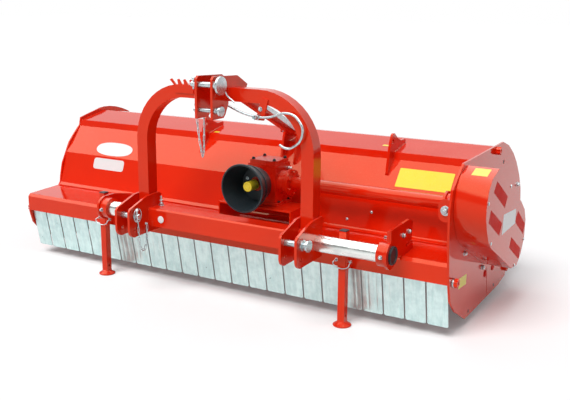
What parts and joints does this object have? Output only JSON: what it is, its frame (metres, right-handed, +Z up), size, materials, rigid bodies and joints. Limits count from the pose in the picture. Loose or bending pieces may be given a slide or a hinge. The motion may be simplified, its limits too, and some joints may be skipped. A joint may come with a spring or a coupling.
{
  "type": "tractor flail mulcher",
  "caption": "Tractor-mounted flail mulcher with sliding three-point hitch arch, gearbox and side belt drive, hinged front flaps, hammer rotor, rear roller and stand legs.",
  "frame": {"origin": "the middle of the machine outline in plan, at the height of the stand feet", "axes": "+X along the working width to the belt drive side, +Y rearwards, against the direction of travel, +Z up"},
  "size_m": [2.5982, 1.33, 1.076],
  "materials": {
    "red_paint": "glossy orange-red paint",
    "zinc_plate": "galvanised sheet and zinc-plated parts",
    "bright_steel": "bare or bright-plated machined steel",
    "black_plastic": "moulded black plastic",
    "yellow_plastic": "moulded yellow plastic",
    "black_rubber": "moulded belt rubber"
  },
  "bodies": {
    "housing": {"hood_shell": "red_paint", "front_deck": "red_paint", "left_end_plate": "red_paint", "right_end_plate": "red_paint", "flap_rod": "zinc_plate", "side_shift_tube": "bright_steel", "left_tube_holder": "red_paint", "right_tube_holder": "red_paint", "gearbox_platform": "red_paint", "gearbox_case": "red_paint", "pto_guard": "black_plastic", "drive_tube": "red_paint", "drive_belt": "black_rubber", "belt_cover": "red_paint", "left_rotor_bearing": "red_paint", "right_rotor_bearing": "red_paint", "left_roller_bracket": "red_paint", "right_roller_bracket": "red_paint", "mast_stay": "red_paint", "stay_rod": "zinc_plate"},
    "hitch": {"mast_arch": "red_paint", "cross_beam": "red_paint"},
    "rotor": {"rotor": "bright_steel", "rotor_pulley": "bright_steel"},
    "drive": {"output_shaft": "bright_steel", "drive_pulley": "bright_steel"},
    "pto": {"input_shaft": "bright_steel", "pto_cap": "yellow_plastic"},
    "roller": {"rear_roller": "red_paint"},
    "hose_hook": {"hose_hook": "zinc_plate"},
    "top_pin": {"top_pin": "bright_steel"},
    "spare_pin": {"spare_pin": "bright_steel"},
    "left_pin": {"left_lower_pin": "bright_steel"},
    "right_pin": {"right_lower_pin": "bright_steel"},
    "left_leg": {"left_stand_leg": "red_paint"},
    "right_leg": {"right_stand_leg": "red_paint"},
    "flap_01": {"flap_01": "zinc_plate"},
    "flap_02": {"flap_02": "zinc_plate"},
    "flap_03": {"flap_03": "zinc_plate"},
    "flap_04": {"flap_04": "zinc_plate"},
    "flap_05": {"flap_05": "zinc_plate"},
    "flap_06": {"flap_06": "zinc_plate"},
    "flap_07": {"flap_07": "zinc_plate"},
    "flap_08": {"flap_08": "zinc_plate"},
    "flap_09": {"flap_09": "zinc_plate"},
    "flap_10": {"flap_10": "zinc_plate"},
    "flap_11": {"flap_11": "zinc_plate"},
    "flap_12": {"flap_12": "zinc_plate"},
    "flap_13": {"flap_13": "zinc_plate"},
    "flap_14": {"flap_14": "zinc_plate"},
    "flap_15": {"flap_15": "zinc_plate"},
    "flap_16": {"flap_16": "zinc_plate"},
    "flap_17": {"flap_17": "zinc_plate"},
    "flap_18": {"flap_18": "zinc_plate"},
    "flap_19": {"flap_19": "zinc_plate"},
    "flap_20": {"flap_20": "zinc_plate"},
    "flap_21": {"flap_21": "zinc_plate"},
    "flap_22": {"flap_22": "zinc_plate"},
    "flap_23": {"flap_23": "zinc_plate"},
    "flap_24": {"flap_24": "zinc_plate"}
  },
  "joints": [
    {"name": "side_shift", "type": "slide", "parent": "housing", "child": "hitch", "axis": [1, 0, 0], "range_m": [-0.17, 0.25]},
    {"name": "rotor_spin", "type": "hinge", "parent": "housing", "child": "rotor", "pos_m": [-0.04685, 0.1, 0.375], "axis": [1, 0, 0], "continuous": true},
    {"name": "drive_spin", "type": "hinge", "parent": "housing", "child": "drive", "pos_m": [0.65315, -0.205, 0.56], "axis": [1, 0, 0], "continuous": true},
    {"name": "pto_spin", "type": "hinge", "parent": "housing", "child": "pto", "pos_m": [0.18915, -0.395, 0.56], "axis": [0, 1, 0], "continuous": true},
    {"name": "roller_spin", "type": "hinge", "parent": "housing", "child": "roller", "pos_m": [-0.04685, 0.445, 0.136], "axis": [1, 0, 0], "continuous": true},
    {"name": "left_leg_slide", "type": "slide", "parent": "housing", "child": "left_leg", "axis": [0, 0, 1], "range_m": [0, 0.22]},
    {"name": "right_leg_slide", "type": "slide", "parent": "housing", "child": "right_leg", "axis": [0, 0, 1], "range_m": [0, 0.22]},
    {"name": "top_pin_pull", "type": "slide", "parent": "hitch", "child": "top_pin", "axis": [1, 0, 0], "range_m": [0, 0.13]},
    {"name": "spare_pin_pull", "type": "slide", "parent": "hitch", "child": "spare_pin", "axis": [1, 0, 0], "range_m": [0, 0.12]},
    {"name": "left_pin_pull", "type": "slide", "parent": "hitch", "child": "left_pin", "axis": [-1, 0, 0], "range_m": [0, 0.12]},
    {"name": "right_pin_pull", "type": "slide", "parent": "hitch", "child": "right_pin", "axis": [1, 0, 0], "range_m": [0, 0.11]},
    {"name": "hook_turn", "type": "hinge", "parent": "hitch", "child": "hose_hook", "pos_m": [0.32515, -0.525, 0.905], "axis": [0, 1, 0], "range_deg": [-10, 25]},
    {"name": "flap_01_swing", "type": "hinge", "parent": "housing", "child": "flap_01", "pos_m": [-0.04685, -0.3531, 0.2641], "axis": [1, 0, 0], "range_deg": [-15, 60]},
    {"name": "flap_02_swing", "type": "hinge", "parent": "housing", "child": "flap_02", "pos_m": [-0.04685, -0.3531, 0.2641], "axis": [1, 0, 0], "range_deg": [-15, 60]},
    {"name": "flap_03_swing", "type": "hinge", "parent": "housing", "child": "flap_03", "pos_m": [-0.04685, -0.3531, 0.2641], "axis": [1, 0, 0], "range_deg": [-15, 60]},
    {"name": "flap_04_swing", "type": "hinge", "parent": "housing", "child": "flap_04", "pos_m": [-0.04685, -0.3531, 0.2641], "axis": [1, 0, 0], "range_deg": [-15, 60]},
    {"name": "flap_05_swing", "type": "hinge", "parent": "housing", "child": "flap_05", "pos_m": [-0.04685, -0.3531, 0.2641], "axis": [1, 0, 0], "range_deg": [-15, 60]},
    {"name": "flap_06_swing", "type": "hinge", "parent": "housing", "child": "flap_06", "pos_m": [-0.04685, -0.3531, 0.2641], "axis": [1, 0, 0], "range_deg": [-15, 60]},
    {"name": "flap_07_swing", "type": "hinge", "parent": "housing", "child": "flap_07", "pos_m": [-0.04685, -0.3531, 0.2641], "axis": [1, 0, 0], "range_deg": [-15, 60]},
    {"name": "flap_08_swing", "type": "hinge", "parent": "housing", "child": "flap_08", "pos_m": [-0.04685, -0.3531, 0.2641], "axis": [1, 0, 0], "range_deg": [-15, 60]},
    {"name": "flap_09_swing", "type": "hinge", "parent": "housing", "child": "flap_09", "pos_m": [-0.04685, -0.3531, 0.2641], "axis": [1, 0, 0], "range_deg": [-15, 60]},
    {"name": "flap_10_swing", "type": "hinge", "parent": "housing", "child": "flap_10", "pos_m": [-0.04685, -0.3531, 0.2641], "axis": [1, 0, 0], "range_deg": [-15, 60]},
    {"name": "flap_11_swing", "type": "hinge", "parent": "housing", "child": "flap_11", "pos_m": [-0.04685, -0.3531, 0.2641], "axis": [1, 0, 0], "range_deg": [-15, 60]},
    {"name": "flap_12_swing", "type": "hinge", "parent": "housing", "child": "flap_12", "pos_m": [-0.04685, -0.3531, 0.2641], "axis": [1, 0, 0], "range_deg": [-15, 60]},
    {"name": "flap_13_swing", "type": "hinge", "parent": "housing", "child": "flap_13", "pos_m": [-0.04685, -0.3531, 0.2641], "axis": [1, 0, 0], "range_deg": [-15, 60]},
    {"name": "flap_14_swing", "type": "hinge", "parent": "housing", "child": "flap_14", "pos_m": [-0.04685, -0.3531, 0.2641], "axis": [1, 0, 0], "range_deg": [-15, 60]},
    {"name": "flap_15_swing", "type": "hinge", "parent": "housing", "child": "flap_15", "pos_m": [-0.04685, -0.3531, 0.2641], "axis": [1, 0, 0], "range_deg": [-15, 60]},
    {"name": "flap_16_swing", "type": "hinge", "parent": "housing", "child": "flap_16", "pos_m": [-0.04685, -0.3531, 0.2641], "axis": [1, 0, 0], "range_deg": [-15, 60]},
    {"name": "flap_17_swing", "type": "hinge", "parent": "housing", "child": "flap_17", "pos_m": [-0.04685, -0.3531, 0.2641], "axis": [1, 0, 0], "range_deg": [-15, 60]},
    {"name": "flap_18_swing", "type": "hinge", "parent": "housing", "child": "flap_18", "pos_m": [-0.04685, -0.3531, 0.2641], "axis": [1, 0, 0], "range_deg": [-15, 60]},
    {"name": "flap_19_swing", "type": "hinge", "parent": "housing", "child": "flap_19", "pos_m": [-0.04685, -0.3531, 0.2641], "axis": [1, 0, 0], "range_deg": [-15, 60]},
    {"name": "flap_20_swing", "type": "hinge", "parent": "housing", "child": "flap_20", "pos_m": [-0.04685, -0.3531, 0.2641], "axis": [1, 0, 0], "range_deg": [-15, 60]},
    {"name": "flap_21_swing", "type": "hinge", "parent": "housing", "child": "flap_21", "pos_m": [-0.04685, -0.3531, 0.2641], "axis": [1, 0, 0], "range_deg": [-15, 60]},
    {"name": "flap_22_swing", "type": "hinge", "parent": "housing", "child": "flap_22", "pos_m": [-0.04685, -0.3531, 0.2641], "axis": [1, 0, 0], "range_deg": [-15, 60]},
    {"name": "flap_23_swing", "type": "hinge", "parent": "housing", "child": "flap_23", "pos_m": [-0.04685, -0.3531, 0.2641], "axis": [1, 0, 0], "range_deg": [-15, 60]},
    {"name": "flap_24_swing", "type": "hinge", "parent": "housing", "child": "flap_24", "pos_m": [-0.04685, -0.3531, 0.2641], "axis": [1, 0, 0], "range_deg": [-15, 60]}
  ],
  "couplings": [
    {"joint": "drive_spin", "follows": "rotor_spin", "ratio": 0.77586},
    {"joint": "pto_spin", "follows": "rotor_spin", "ratio": 0.25862}
  ]
}
